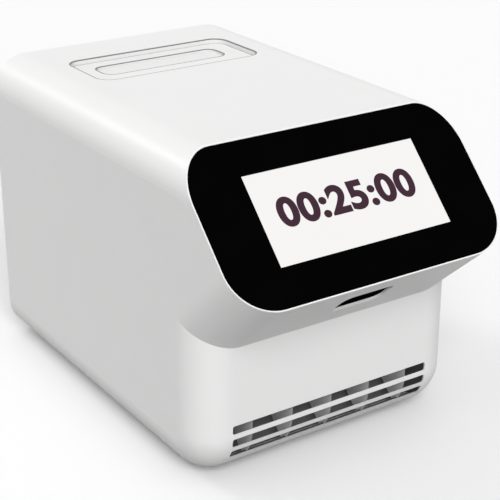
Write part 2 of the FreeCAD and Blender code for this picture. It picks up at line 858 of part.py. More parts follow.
def flap_spring():
    """The coil that closes the flap, with one leg down the chute's rear wall."""
    start = slot_width / 2 - knuckle_inset - knuckle_length - flap_gap - spring_wire / 2
    pitch = spring_length / spring_turns
    path = Part.makeHelix(pitch, spring_length, spring_radius)
    begin = Vector(spring_radius, 0, 0)
    ring = Part.Circle(begin, Vector(0, 1, pitch / (2 * math.pi * spring_radius)), spring_wire / 2)
    section = Part.Wire([ring.toShape()])
    coil = Part.Wire(path.Edges).makePipeShell([section], True, True)
    leg = rod(spring_wire / 2, (spring_radius, 0, spring_length), (0, 1, 0), spring_leg)
    spring = joined(coil.Solids[0] if coil.Solids else Part.Solid(coil), leg)
    spring.rotate(Vector(), Vector(0, 1, 0), -QUARTER)
    spring.rotate(Vector(), Vector(1, 0, 0), -QUARTER)
    spring.translate(Vector(start, hinge_y, hinge_z))
    return spring


def cartridge_chute():
    """The guide that takes a cartridge, with a wider pocket above for the hanging flap."""
    pocket_x = about(0, 2 * pocket_half)
    pocket_y = (pocket_front, pocket_back)
    guide_x = about(0, guide_width)
    guide_y = (slot_front, guide_back)
    upper_x, upper_y = grown(pocket_x, chute_wall), grown(pocket_y, chute_wall)
    upper = block(upper_x, upper_y, (step_z - chute_wall, ceiling_z))
    lower_z = (seat_z - chute_wall, step_z)
    lower = block(grown(guide_x, chute_wall), grown(guide_y, chute_wall), lower_z)
    flange_z = (ceiling_z - chute_flange_thickness, ceiling_z)
    flange = rounded_block(grown(upper_x, chute_flange), upper_y, flange_z, chute_wall)
    cuts = [
        block(pocket_x, pocket_y, (step_z, ceiling_z + overrun)),
        block(guide_x, guide_y, (seat_z, ceiling_z)),
        rod(pin_radius + running, (-width / 2, hinge_y, hinge_z), (1, 0, 0), width),
    ]
    window_y = (slot_front - overrun, slot_front + chute_wall)
    cuts.append(block(about(0, chute_window_width), window_y, about(optics_z, chute_window_height)))
    for x, y in chute_stake_places():
        cuts.append(rod(stake_radius + running, (x, y, ceiling_z + overrun), (0, 0, -1), 2 * overrun))
    return solid_of(less(joined(upper, lower, flange), *cuts))


def optics_body():
    """The reading head's black case on the front of the chute."""
    y = (slot_front - chute_wall - optics_depth, slot_front - chute_wall)
    body = rounded_block(about(0, optics_width), y, about(optics_z, optics_height), optics_edge, 1)
    return less(body, rod(optics_bore, (0, y[0] - overrun, optics_z), (0, 1, 0), optics_depth + 2 * overrun))


def optics_lens():
    """The lens in the reading head's bore."""
    start = slot_front - chute_wall - optics_bore
    return rod(optics_bore - lens_gap, (0, start, optics_z), (0, -1, 0), lens_thickness)


def camera_board():
    """The sensor board on the end of the reading head."""
    y = slot_front - chute_wall - optics_depth
    board = block(about(0, camera_size), (y - board_thickness, y), about(optics_z, camera_size))
    chip_y = (y - board_thickness - chip_height, y - board_thickness)
    return joined(board, block(about(0, camera_size / 2), chip_y, about(optics_z, camera_size / 2)))


def heater():
    """The finned heater plate on the back of the guide."""
    y = guide_back + chute_wall
    z = (heater_z, heater_z + heater_height)
    plate = block(about(0, heater_width), (y, y + heater_base), z)
    fins = []
    pitch = (heater_width - heater_fin_thickness) / (heater_fins - 1)
    for number in range(heater_fins):
        left = -heater_width / 2 + number * pitch
        fins.append(block((left, left + heater_fin_thickness), (y, y + heater_base + heater_fin_depth), z))
    return joined(plate, *fins)


def reader_frame():
    """A bent sheet stand that carries the chute above the boards."""
    y = (slot_front - frame_front, slot_rear + frame_rear)
    shelf_top = seat_z - chute_wall
    pieces = [block(about(0, 2 * frame_half), y, (shelf_top - sheet, shelf_top))]
    windows = []
    for side in (-1, 1):
        leg_x = sorted((side * (frame_half - sheet), side * frame_half))
        toe_x = sorted((side * (frame_half - frame_foot), side * frame_half))
        pieces.append(block(leg_x, y, (tray_z, shelf_top)))
        pieces.append(block(toe_x, y, (tray_z, tray_z + sheet)))
        margin = frame_window_margin
        hole = rounded_block(
            grown(leg_x, overrun), grown(y, -margin), (tray_z + margin, shelf_top - margin), standoff_radius, 0
        )
        windows.append(hole)
    return solid_of(less(joined(*pieces), *windows))


def chassis_tray():
    """The folded floor tray that holds the boards and the frame."""
    y = (front_y + tray_front, panel_inside - tray_rear_gap)
    floor = block(about(0, 2 * tray_half), y, (inside_z, tray_z))
    sides = [
        block(sorted((side * (tray_half - sheet), side * tray_half)), y, (inside_z, tray_z + tray_flange))
        for side in (-1, 1)
    ]
    holes = [
        rod(screw_radius + running, (x, place, 0), (0, 0, 1), tray_z + overrun) for x, place in tray_screw_places()
    ]
    return solid_of(less(joined(floor, *sides), *holes))


def board_standoffs():
    """Brass standoffs under the main board."""
    places = corner_places(
        main_half - standoff_inset, main_y[0] + standoff_inset, main_y[1] - standoff_inset
    )
    pillars = [rod(standoff_radius, (x, y, tray_z), (0, 0, 1), standoff_height) for x, y in places]
    return Part.makeCompound(pillars)


def main_board():
    """The main board with its chips and connectors."""
    board = block(about(0, 2 * main_half), main_y, (board_z, board_top))
    chip = block(about(0, sink_size * chip_share), about(sink_y, sink_size * chip_share), (board_z, sink_z))
    parts = [chip]
    for side in (-1, 1):
        for row in (-1, 1):
            x = side * (sink_size / 2 + memory_size)
            y = sink_y + row * memory_size
            parts.append(block(about(x, memory_size), about(y, memory_size), (board_z, sink_z)))
    plug_y = about(main_y[0] + ribbon_plug, ribbon_plug)
    parts.append(block(about(ribbon_x, ribbon_width + 2 * chip_height), plug_y, (board_z, ribbon_end_z)))
    return joined(board, *parts)


def processor_sink():
    """The finned heat sink on the processor."""
    y = about(sink_y, sink_size)
    base = block(about(0, sink_size), y, (sink_z, sink_z + sink_base))
    pitch = (sink_size - sink_fin_thickness) / (sink_fins - 1)
    fins = []
    for number in range(sink_fins):
        left = -sink_size / 2 + number * pitch
        fins.append(block((left, left + sink_fin_thickness), y, (sink_z, sink_z + sink_base + sink_fin_height)))
    return joined(base, *fins)


def power_module():
    """The closed power converter on the main board."""
    x = (-main_half + standoff_inset, -main_half + standoff_inset + power_width)
    y = about(power_y, power_length)
    return rounded_block(x, y, (board_top, board_top + power_height), power_edge)


def display_ribbon():
    """The flat cable from the display's board down to the main board."""
    turn = math.radians(display_angle)
    along, out = (math.cos(turn), math.sin(turn)), (-math.sin(turn), math.cos(turn))
    centre = module_rise + module_height / 2
    sunk = module_back - bracket_sheet - display_board_standoff - board_thickness - ribbon_plug_height
    top = (nose_y + along[0] * centre + out[0] * sunk, nose_z + along[1] * centre + out[1] * sunk)
    exit_y = (top[0] - out[0] * ribbon_run, top[1] - out[1] * ribbon_run)
    end = (main_y[0] + ribbon_plug, ribbon_end_z)
    rise = (end[0], end[1] + ribbon_run)
    path = [top, exit_y, rise, end]
    left, right = [], []
    for number, (y, z) in enumerate(path):
        before, after = path[max(number - 1, 0)], path[min(number + 1, len(path) - 1)]
        first = math.atan2(z - before[1], y - before[0]) if number else None
        second = math.atan2(after[1] - z, after[0] - y) if number < len(path) - 1 else first
        first = second if first is None else first
        middle = (first + second) / 2
        half = ribbon_thickness / 2 / math.cos((first - second) / 2)
        left.append((y - half * math.sin(middle), z + half * math.cos(middle)))
        right.append((y + half * math.sin(middle), z - half * math.cos(middle)))
    return extruded(left + right[::-1], about(ribbon_x, ribbon_width))


def rear_panel():
    """The flat back, set into the housing, with its cut-outs."""
    x = about(0, width - 2 * (wall + loose))
    z = (inside_z + loose, top_z - wall - loose)
    panel = rounded_block(x, (panel_inside, panel_y), z, edge_radius - wall - loose, 1)
    start, through = panel_inside - overrun, panel_thickness + 2 * overrun
    cuts = [rod(fan_bore, (fan_x, start, fan_z), (0, 1, 0), through)]
    for hole_x, hole_z in fan_hole_places():
        cuts.append(rod(fan_hole_radius, (hole_x, start, hole_z), (0, 1, 0), through))
    for hole_x, hole_z in post_places():
        cuts.append(rod(screw_radius + loose, (hole_x, start, hole_z), (0, 1, 0), through))
    y = (start, start + through)
    for centre, across, tall in sockets():
        socket_z = (board_top - loose, board_top + tall + loose)
        cuts.append(block(about(centre, across + 2 * loose), y, socket_z))
    cuts.append(block(about(switch_x, switch_width + 2 * loose), y, about(switch_z, switch_height + 2 * loose)))
    return solid_of(less(panel, *cuts))


def sockets():
    """The sockets on the main board's rear edge, as centre, width and height."""
    return [
        (jack_x, jack_width, jack_height),
        (usb_x, usb_width, usb_height),
        (lan_x, lan_width, lan_height),
    ]


def socket_block(centre, across, tall, length):
    """A socket's outer block, standing on the board and reaching into the panel."""
    y = (socket_face - length, socket_face)
    return block(about(centre, across), y, (board_top, board_top + tall))


def power_jack():
    """The low-voltage inlet with its centre pin."""
    body = socket_block(jack_x, jack_width, jack_height, jack_depth)
    axis_z = board_top + jack_height / 2
    body = less(body, rod(jack_bore, (jack_x, socket_face, axis_z), (0, -1, 0), jack_bore_depth))
    pin_start = (jack_x, socket_face - jack_bore_depth - jack_pin, axis_z)
    return joined(body, rod(jack_pin, pin_start, (0, 1, 0), jack_bore_depth))


def usb_socket():
    """A flat data socket, a folded shell with a tongue."""
    shell = socket_block(usb_x, usb_width, usb_height, usb_depth)
    x = about(usb_x, usb_width - 2 * usb_wall)
    z = (board_top + usb_wall, board_top + usb_height - usb_wall)
    y = (socket_face - usb_depth + usb_tongue, socket_face)
    hollow = block(x, (y[0], y[1] + overrun), z)
    tongue_z = (z[1] - 2 * usb_wall - usb_tongue, z[1] - 2 * usb_wall)
    tongue = block(grown(x, -2 * usb_wall), (y[0] - usb_wall, y[1] - usb_wall), tongue_z)
    return joined(less(shell, hollow), tongue)


def lan_socket():
    """A network socket with its latch notch."""
    body = socket_block(lan_x, lan_width, lan_height, lan_depth)
    x = about(lan_x, lan_width - 2 * lan_wall)
    y = (socket_face - lan_depth + 2 * lan_floor, socket_face + overrun)
    z = (board_top + lan_floor, board_top + lan_height - lan_wall)
    notch = block(about(lan_x, lan_notch), y, (board_top + lan_floor / 2, z[1]))
    return less(body, block(x, y, z), notch)


def rear_screws():
    """The panel's four screws in the housing's posts."""
    shank = panel_thickness + screw_length - screw_end_gap
    return Part.makeCompound([
        pan_screw((x, panel_y, z), (0, 1, 0), screw_radius, screw_head_radius, screw_head_height, shank)
        for x, z in post_places()
    ])


def pan_screw(seat, outward, radius, head_radius, head_height, length):
    """A screw whose head stands on a seat and whose shank runs inward from it."""
    inward = [-part for part in outward]
    head = rod(head_radius, seat, outward, head_height)
    far = Vector(*seat) + Vector(*outward) * head_height
    rim_edges = [edge for edge in head.Edges if edge.Closed and edge.CenterOfMass.isEqual(far, running)]
    head = head.makeFillet(head_height / 2, rim_edges)
    screw = joined(head, rod(radius, seat, inward, length))
    slot = rod(radius, tuple(far), inward, head_height / 2)
    return solid_of(less(screw, slot))


def tray_screws():
    """Four screws up through the housing's floor into the tray."""
    shank = wall + sheet + screw_radius
    return Part.makeCompound([
        pan_screw((x, y, base_z), (0, 0, -1), screw_radius, screw_head_radius, screw_head_height, shank)
        for x, y in tray_screw_places()
    ])


def fan_screws():
    """Four screws through the guard and the panel into the fan."""
    shank = guard_thickness + panel_thickness + fan_depth / 2
    return Part.makeCompound([
        pan_screw(
            (x, panel_y + guard_thickness, z), (0, 1, 0), fan_screw_radius, fan_screw_head, screw_head_height, shank
        )
        for x, z in fan_hole_places()
    ])


def fan_guard():
    """The flat finger guard over the fan."""
    y = (panel_y, panel_y + guard_thickness)
    start = (fan_x, panel_y, fan_z)
    pieces = [rod(guard_boss_radius, start, (0, 1, 0), guard_thickness)]
    step = (fan_bore - guard_boss_radius) / guard_rings
    for number in range(guard_rings):
        outer = guard_boss_radius + (number + 1) * step
        ring = rod(outer, start, (0, 1, 0), guard_thickness)
        bore_start = (fan_x, panel_y - overrun, fan_z)
        pieces.append(less(ring, rod(outer - guard_ring_width, bore_start, (0, 1, 0), 2 * overrun)))
    reach = fan_hole_spacing * math.sqrt(2) / 2
    for turn in range(len(fan_hole_places())):
        spoke = block((0, reach), y, about(0, guard_spoke))
        spoke.rotate(Vector(), Vector(0, 1, 0), QUARTER * (turn + 1 / 2))
        spoke.translate(Vector(fan_x, 0, fan_z))
        pieces.append(spoke)
    for x, z in fan_hole_places():
        pieces.append(rod(guard_ear_radius, (x, panel_y, z), (0, 1, 0), guard_thickness))
    holes = [
        rod(fan_hole_radius, (x, panel_y - overrun, z), (0, 1, 0), 2 * overrun) for x, z in fan_hole_places()
    ]
    return solid_of(less(joined(*pieces), *holes))


def fan_frame():
    """The fan's square frame with its struts, motor seat and bearing tube."""
    y = (panel_inside - fan_depth, panel_inside)
    frame = rounded_block(about(fan_x, fan_size), y, about(fan_z, fan_size), fan_corner, 1)
    start = (fan_x, y[0], fan_z)
    frame = less(frame, rod(fan_bore, start, (0, 1, 0), fan_depth))
    pieces = [rod(fan_stator_radius, start, (0, 1, 0), fan_stator_depth)]
    tube_length = fan_stator_depth + fan_end_gap + fan_hub_depth / 2
    pieces.append(rod(2 * fan_shaft_radius, start, (0, 1, 0), tube_length))
    for turn in range(fan_struts):
        strut = block((0, fan_bore + fan_strut / 2), (y[0], y[0] + fan_stator_depth), about(0, fan_strut))
        strut.rotate(Vector(), Vector(0, 1, 0), 4 * QUARTER * turn / fan_struts)
        strut.translate(Vector(fan_x, 0, fan_z))
        pieces.append(strut)
    holes = [rod(fan_shaft_radius + running, start, (0, 1, 0), fan_depth)]
    for x, z in fan_hole_places():
        holes.append(rod(fan_hole_radius, (x, y[0] - overrun, z), (0, 1, 0), fan_depth + 2 * overrun))
    return solid_of(less(joined(frame, *pieces), *holes))


def fan_blade():
    """One twisted blade, reaching out along +X."""
    sections = []
    for radius, angle in ((fan_hub_radius - fan_hub_wall * root_share, fan_root_angle), (fan_bore, fan_tip_angle)):
        chord = fan_blade_reach / math.sin(math.radians(angle))
        half, thick = chord / 2, fan_blade_thickness / 2
        corners = [Vector(radius, y, z) for y, z in ((-thick, -half), (thick, -half), (thick, half), (-thick, half))]
        outline = Part.makePolygon(corners + corners[:1])
        outline.rotate(Vector(), Vector(1, 0, 0), -angle)
        sections.append(outline)
    return Part.makeLoft(sections, True, True)


def fan_rotor():
    """The fan's hub cup, shaft and blades."""
    near = panel_inside - fan_depth + fan_stator_depth + fan_end_gap
    far = near + fan_hub_depth
    hub = rod(fan_hub_radius, (fan_x, near, fan_z), (0, 1, 0), fan_hub_depth)
    edges = [edge for edge in hub.Edges if edge.BoundBox.YMin > far - running]
    hub = hub.makeFillet(fan_hub_wall, edges)
    inner = rod(fan_hub_radius - fan_hub_wall, (fan_x, near, fan_z), (0, 1, 0), fan_hub_depth - fan_hub_wall)
    hub = less(hub, inner)
    shaft_start = near - fan_end_gap - fan_stator_depth / 2
    shaft = rod(fan_shaft_radius, (fan_x, shaft_start, fan_z), (0, 1, 0), far - shaft_start - fan_hub_wall / 2)
    limit = rod(fan_bore - fan_tip_gap, (0, -fan_depth, 0), (0, 1, 0), 2 * fan_depth)
    blade = fan_blade().common(limit)
    blades = []
    for number in range(fan_blades):
        copy = blade.copy()
        copy.rotate(Vector(), Vector(0, 1, 0), 4 * QUARTER * number / fan_blades)
        copy.translate(Vector(fan_x, (near + far) / 2, fan_z))
        blades.append(copy)
    return solid_of(joined(hub, shaft, *blades))


def switch_body():
    """The power switch's case, snapped into the panel."""
    face = panel_y + switch_bezel
    bezel_x = about(switch_x, switch_width + 2 * switch_bezel_lip)
    bezel_z = about(switch_z, switch_height + 2 * switch_bezel_lip)
    bezel = rounded_block(bezel_x, (panel_y, face), bezel_z, switch_bezel_lip, 1)
    x, z = about(switch_x, switch_width), about(switch_z, switch_height)
    body = block(x, (panel_y - switch_body_depth, panel_y), z)
    cavity = block(grown(x, -switch_wall), (face - 2 * rocker_depth, face + overrun), grown(z, -switch_wall))
    start = (switch_x - switch_width, rocker_y, switch_z)
    pivot = rod(rocker_pin_radius + running, start, (1, 0, 0), 2 * switch_width)
    return solid_of(less(joined(bezel, body), cavity, pivot))


def power_rocker():
    """The switch's rocker with its pivot pins, tilted to one of its two places."""
    half = switch_height / 2 - switch_wall - rocker_gap
    face = panel_y + switch_bezel
    outline = [
        (face + rocker_rise, switch_z + half - rocker_taper),
        (face, switch_z),
        (face + rocker_rise, switch_z - half + rocker_taper),
        (rocker_y - rocker_pin_radius, switch_z - half + rocker_rise),
        (face - rocker_depth, switch_z - half / 2),
        (face - rocker_depth, switch_z + half / 2),
        (rocker_y - rocker_pin_radius, switch_z + half - rocker_rise),
    ]
    across = about(switch_x, switch_width - 2 * (switch_wall + rocker_gap))
    pin_half = switch_width / 2 - loose
    pins = rod(rocker_pin_radius, (switch_x - pin_half, rocker_y, switch_z), (1, 0, 0), 2 * pin_half)
    rocker = joined(extruded(outline, across), pins)
    rocker.rotate(Vector(switch_x, rocker_y, switch_z), Vector(1, 0, 0), -rocker_tilt)
    return rocker


def pieces():
    """Every node of the reader, by name."""
    made = {
        "housing": housing(),
        "display_glass": display_glass(),
        "display_gasket": display_gasket(),
        "display_screen": display_screen(),
        "display_module": display_module(),
        "display_bracket": display_bracket(),
        "display_board": display_board(),
        "display_ribbon": display_ribbon(),
        "scan_window": scan_window(),
        "scanner": scanner(),
        "scanner_bracket": scanner_bracket(),
        "vent_duct": vent_duct(),
        "vent_ribs": vent_ribs(),
        "speaker": speaker(),
        "slot_flap": slot_flap(),
        "flap_pin": flap_pin(),
        "flap_spring": flap_spring(),
        "cartridge_chute": cartridge_chute(),
        "optics_body": optics_body(),
        "optics_lens": optics_lens(),
        "camera_board": camera_board(),
        "heater": heater(),
        "reader_frame": reader_frame(),
        "chassis_tray": chassis_tray(),
        "tray_screws": tray_screws(),
        "board_standoffs": board_standoffs(),
        "main_board": main_board(),
        "processor_sink": processor_sink(),
        "power_module": power_module(),
        "rear_panel": rear_panel(),
        "rear_screws": rear_screws(),
        "power_jack": power_jack(),
        "usb_socket": usb_socket(),
        "lan_socket": lan_socket(),
        "fan_frame": fan_frame(),
        "fan_rotor": fan_rotor(),
        "fan_guard": fan_guard(),
        "fan_screws": fan_screws(),
        "switch_body": switch_body(),
        "power_rocker": power_rocker(),
    }
    names = ("foot_front_left", "foot_rear_left", "foot_front_right", "foot_rear_right")
    for name, place in zip(names, foot_places()):
        made[name] = foot(*place)
    return made


os.makedirs("parts", exist_ok=True)
for node, shape in pieces().items():
    shape.exportStep("parts/" + node + ".step")
    print(node, shape.isValid(), len(shape.Solids), round(shape.Volume))
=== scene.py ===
import json
import math

import bmesh
import bpy
from mathutils import Matrix, Vector


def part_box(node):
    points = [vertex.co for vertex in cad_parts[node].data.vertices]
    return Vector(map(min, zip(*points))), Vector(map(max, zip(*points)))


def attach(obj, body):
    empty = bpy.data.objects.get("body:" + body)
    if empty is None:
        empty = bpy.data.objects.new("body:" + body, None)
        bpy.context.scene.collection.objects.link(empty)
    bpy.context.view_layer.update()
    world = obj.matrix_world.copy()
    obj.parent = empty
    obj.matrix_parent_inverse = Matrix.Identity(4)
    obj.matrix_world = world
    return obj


# Rapid test reader: the finish of every piece, the screen's figures and the small contacts
# and marks at the back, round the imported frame. Metres, in the frame's own axes.

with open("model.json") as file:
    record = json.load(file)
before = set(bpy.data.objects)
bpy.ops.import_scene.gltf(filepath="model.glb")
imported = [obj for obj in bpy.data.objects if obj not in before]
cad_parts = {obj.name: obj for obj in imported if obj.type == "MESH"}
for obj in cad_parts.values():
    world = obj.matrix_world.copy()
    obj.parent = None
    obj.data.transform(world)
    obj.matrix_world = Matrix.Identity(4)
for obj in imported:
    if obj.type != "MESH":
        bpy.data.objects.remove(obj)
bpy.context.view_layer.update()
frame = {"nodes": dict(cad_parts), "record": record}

MM = 0.001
FAR = 1.0                           # beyond the reader on every side
MIX_FIRST, MIX_SECOND = 6, 7        # the colour inputs of a Mix node
MIX_RESULT = 2                      # and its colour output

# View
camera_place = Vector((-0.4069, -0.6232, 0.4059))
camera_azimuth = 33.75              # degrees to the right of +Y
camera_fall = 23.1                  # degrees below level
camera_lens = 97.56                 # mm on a sensor of 36 mm
camera_sensor = 36.0
camera_near = 0.01
camera_far = 50.0

# Light. A lamp of strength pi lights a white face square to it to white.
sky_left = 0.55                     # the sky's strength from the left
sky_right = 0.40
ceiling_height_share = 0.32         # of a unit direction, where the sky starts to darken in reflections
ceiling_dark = 0.015
lamps = (
    # name, direction, strength, degrees across
    ("key", Vector((-0.32, -0.75, 0.578)), 0.68 * math.pi, 34),
    ("top", Vector((0.0, 0.2, 1.0)), 0.06 * math.pi, 60),
    ("rim", Vector((-0.39, 0.765, 0.51)), 0.14 * math.pi, 12),
)
floor_half = 6.0
floor_tone = 0.97                   # as seen
floor_bounce = 0.19                 # as it lights the object from below

# Textures: waves in a metre, and shares of a finish's own tone and roughness between which they move it
drift_scale = 22.0
moulded_rough_shares = (0.88, 1.12)
metal_tone_shares = (0.90, 1.08)
metal_rough_shares = (0.75, 1.25)
soft_tone_shares = (0.75, 1.25)
soft_rough_shares = (0.90, 1.10)
cable_tone_shares = (0.72, 1.0)
screen_tone_shares = (0.99, 1.0)
screen_unlit_shares = (0.05, 0.06)
screen_scale = 18.0
swirl_scale = 35.0
peel_scale = 90.0
peel_height = 0.002 * MM
window_scale = 60.0
lens_scale = 80.0
conductor_height = 0.05 * MM
glass_tones = ((0.0006, 0.0006, 0.0007, 1.0), (0.0016, 0.0016, 0.0017, 1.0))
window_tones = ((0.001, 0.001, 0.001, 1.0), (0.003, 0.002, 0.002, 1.0))
lens_tones = ((0.80, 0.88, 0.92, 1.0), (0.86, 0.90, 0.95, 1.0))

# Circuit boards and black cases
case_tone = (0.018, 0.018, 0.02)
track_scale = 210.0
track_pitch_share = 0.09            # of a cell, for a track and its gap
track_gap_share = 0.05              # of a cell
track_tone_share = 1.9              # of the mask's tone
track_height = 0.02 * MM
mask_rough = 0.28
chip_rough = 0.5
chip_black = (*case_tone, 1.0)
mask_green = (0.012, 0.085, 0.042, 1.0)
board_thickness = 1.6 * MM
chip_start = 0.1 * MM               # above the board

# The housing's and the ribs' painted shade and painted dark lines. Each pair is a place on the ramp and a
# share of the tone.
recess_least = 2 * MM               # the recess lies at least this far below the top
recess_most = 4 * MM
recess_radius = 9 * MM
edge_reach = 0.9 * MM               # how far its eased edges reach past its floor
slot_half = Vector((42, 9.5, 0)) * MM
slot_radius = 6 * MM
slot_margin = 10.8 * MM             # from the slot to the rear of the recess
painted_line_width = 1.2 * MM               # of the painted dark line round the recess and the slot
foot_shade_width = 0.5 * MM               # of the painted shade on the recess's floor along the foot of its walls
line_height = 0.7 * MM              # how far above and below its level a line reaches
# painted shade on the recess's walls and dark painted lines on its eased edges, by how far the normal
# looks up
recess_shade_greys = ((0.0, 0.84), (0.10, 0.84), (0.16, 0.22), (0.93, 0.22), (0.99, 1.0))
# dark painted lines and painted shade, on faces that are nearly level
painted_line_greys = ((0.0, 1.0), (0.92, 1.0), (0.99, 0.28))
# painted shade on the ribs' faces that look forward
rib_shade_greys = ((0.0, 0.40), (0.15, 0.40), (0.30, 1.0))
toe_radius = 28 * MM                # of the front wall's turn under
vent_skin = 1.15 * MM               # the housing is painted black, as shade, deeper than this behind the slots
vent_reach = 3 * MM                 # and as far as this past the ribs
# painted shade behind the slots
vent_shade_greys = ((0.0, 1.0), (1.0, 0.16))

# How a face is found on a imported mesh
facing_least = 0.5                  # of a unit normal, for a face that looks a given way
level_least = 0.9999                # of a unit normal, for a level face
plane_tolerance = 0.02 * MM

# The figures on the screen
figures = "00:25:00"
figures_width = 88 * MM
figures_height = 17 * MM
figures_rise = 1.8 * MM             # above the middle of the screen
figures_thickness = 0.05 * MM
figures_swell = 0.040               # share of the letter size that thickens the strokes
figures_space = 1.06                # of the letters' own spacing
figures_steps = 16                  # in each curve

# Marks and contacts at the back
mark_size = 3.4 * MM                # the rocker's bar and ring
mark_line = 0.6 * MM
mark_rise = 0.06 * MM
rocker_slope = 0.5                  # roughly the slopes' own, up and down, to tell them apart
lan_contacts = 8
lan_pitch = 1.02 * MM
lan_wire = 0.36 * MM
lan_wire_length = 5.5 * MM
lan_wire_start = 4.0 * MM           # from the socket's mouth
lan_wire_drop = 3.2 * MM            # from the socket's top to the wires' inner ends
lan_wire_fall = 0.35                # radians
skin = 0.06 * MM                    # a thin sleeve over a solid's own part
usb_wall = 0.6 * MM
usb_tongue = 1.8 * MM
usb_bevel = 0.25 * MM
usb_contacts = 4
usb_pitch = 2.2 * MM
usb_contact = 1.0 * MM
usb_contact_length = 5.0 * MM
jack_pin = 1.0 * MM
jack_pin_length = 8.4 * MM
jack_pin_sink = 0.9 * MM            # from the inlet's mouth to the pin's tip
jack_pin_round = 0.6 * MM


# Objects and meshes

def add_object(name, data):
    """An object in the scene, from a mesh, a text, a lamp or a camera."""
    made = bpy.data.objects.new(name, data)
    bpy.context.scene.collection.objects.link(made)
    return made


def mesh_of(name, form):
    """A finished form as a mesh."""
    mesh = bpy.data.meshes.new(name)
    form.to_mesh(mesh)
    form.free()
    return mesh


def paint(obj, material):
    """Give a piece one finish in every slot."""
    if not obj.data.materials:
        obj.data.materials.append(material)
    for number in range(len(obj.data.materials)):
        obj.data.materials[number] = material


def corners(points):
    """The lowest and the highest corner of some points."""
    low = Vector([min(point[i] for point in points) for i in range(3)])
    high = Vector([max(point[i] for point in points) for i in range(3)])
    return low, high


def outer_face(node, outward, furthest=True):
    """The middle and the normal of the furthest plane, or of the largest face, that looks a given way."""
    mesh = frame["nodes"][node].data
    outward = Vector(outward)
    facing = [p for p in mesh.polygons if p.normal.dot(outward) > facing_least]
    largest = max(facing, key=lambda p: p.area * p.normal.dot(outward))
    normal = largest.normal.copy()
    level = max(v.co.dot(normal) for v in mesh.vertices) if furthest else largest.center.dot(normal)
    low, high = corners([v.co for v in mesh.vertices if abs(level - v.co.dot(normal)) < plane_tolerance])
    return (low + high) / 2, normal


def recess_floor():
    """The middle and half the size of the recess's floor."""
    mesh = frame["nodes"]["housing"].data
    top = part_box("housing")[1].z
    level = [p for p in mesh.polygons if p.normal.z > level_least]
    floors = [p for p in level if recess_least < top - p.center.z < recess_most]
    low, high = corners([mesh.vertices[i].co for p in floors for i in p.vertices])
    return (low + high) / 2, (high - low) / 2


# Shader helpers

def grey(tone):
    """A grey as a colour."""
    return (tone, tone, tone, 1.0)


def tinted(colour, factor):
    """A colour made lighter or darker."""
    return tuple(min(part * factor, 1.0) for part in colour[:3]) + (1.0,)


def add_node(tree, kind, inputs, output=0, **settings):
    """One output of a new node, whose inputs are linked to others or set."""
    made = tree.nodes.new("ShaderNode" + kind)
    for name, value in settings.items():
        setattr(made, name, value)
    for name, value in inputs.items():
        if isinstance(value, bpy.types.NodeSocket):
            tree.links.new(value, made.inputs[name])
        else:
            made.inputs[name].default_value = value
    return made.outputs[output]


def new_material(name):
    """An empty node material and its tree."""
    material = bpy.data.materials.new(name)
    material.use_nodes = True
    material.node_tree.nodes.clear()
    return material, material.node_tree


def surface(tree, inputs, kind="BsdfPrincipled", output="OutputMaterial"):
    """A shader with its inputs, joined to the output of a material or a world."""
    shader = add_node(tree, kind, inputs)
    tree.links.new(shader, tree.nodes.new("ShaderNode" + output).inputs["Surface"])


def coordinate(tree, name):
    """The object's own coordinates, its normal, or the direction in the sky."""
    return add_node(tree, "TexCoord", {}, name)


def stretched(tree, stretch):
    """The object's own coordinates, stretched along each axis."""
    return add_node(tree, "Mapping", {"Scale": stretch, "Vector": coordinate(tree, "Object")}, "Vector")


def noise(tree, vector, scale, detail, roughness=0.55):
    """A noise texture's value."""
    inputs = {"Scale": scale, "Detail": detail, "Roughness": roughness, "Vector": vector}
    return add_node(tree, "TexNoise", inputs, "Fac")


def spread(tree, value, low, high):
    """A value from 0 to 1 spread between two numbers."""
    return add_node(tree, "MapRange", {"Value": value, "To Min": low, "To Max": high}, "Result")


def share_of(tree, value, start, end, **settings):
    """A share that rises from 0 to 1 while a value goes from a start to an end."""
    inputs = {"Value": value, "From Min": start, "From Max": end}
    return add_node(tree, "MapRange", inputs, "Result", **settings)


def mixed(tree, share, first, second, **settings):
    """Two colours mixed by a share."""
    inputs = {"Factor": share, MIX_FIRST: first, MIX_SECOND: second}
    return add_node(tree, "Mix", inputs, MIX_RESULT, data_type="RGBA", **settings)


def toned(tree, value, colour, shares):
    """A colour that moves between two shares of its tone."""
    return mixed(tree, value, tinted(colour, shares[0]), tinted(colour, shares[1]))


def roughened(tree, value, rough, shares):
    """A roughness that moves between two shares of its own."""
    return spread(tree, value, rough * shares[0], min(rough * shares[1], 1.0))


def relief(tree, height, depth):
    """The normal of a fine relief, of a depth in metres."""
    return add_node(tree, "Bump", {"Height": height, "Distance": depth, "Strength": 1.0}, "Normal")


def calculated(tree, operation, *values):
    """The result of an operation on numbers."""
    return add_node(tree, "Math", dict(enumerate(values)), operation=operation)


def axis(tree, vector, name):
    """One part of a vector."""
    return add_node(tree, "SeparateXYZ", {0: vector}, name)


def near(tree, value, middle, reach):
    """One where a value is within a reach of a middle, and nought elsewhere."""
    return calculated(tree, "COMPARE", value, middle, reach)


def within(tree, place, middle, reach):
    """One where a place is within a reach of a middle along each axis, and nought elsewhere."""
    share = 1.0
    for name, centre, half in zip("XYZ", middle, reach):
        share = calculated(tree, "MULTIPLY", share, near(tree, axis(tree, place, name), centre, half))
    return share


def distance(tree, place, steps):
    """The length of a vector after a chain of vector steps."""
    for operation, amount in steps:
        place = add_node(tree, "VectorMath", {0: place, 1: amount}, operation=operation)
    return add_node(tree, "VectorMath", {0: place}, "Value", operation="LENGTH")


def ring(tree, place, middle, half, radius, start, end):
    """One where a place lies between two distances from a rounded outline seen from above."""
    steps = (
        ("SUBTRACT", middle),
        ("MULTIPLY", (1, 1, 0)),
        ("ABSOLUTE", (0, 0, 0)),
        ("SUBTRACT", (half.x - radius, half.y - radius, 0)),
        ("MAXIMUM", (0, 0, 0)),
    )
    return near(tree, distance(tree, place, steps), radius + (start + end) / 2, (end - start) / 2)


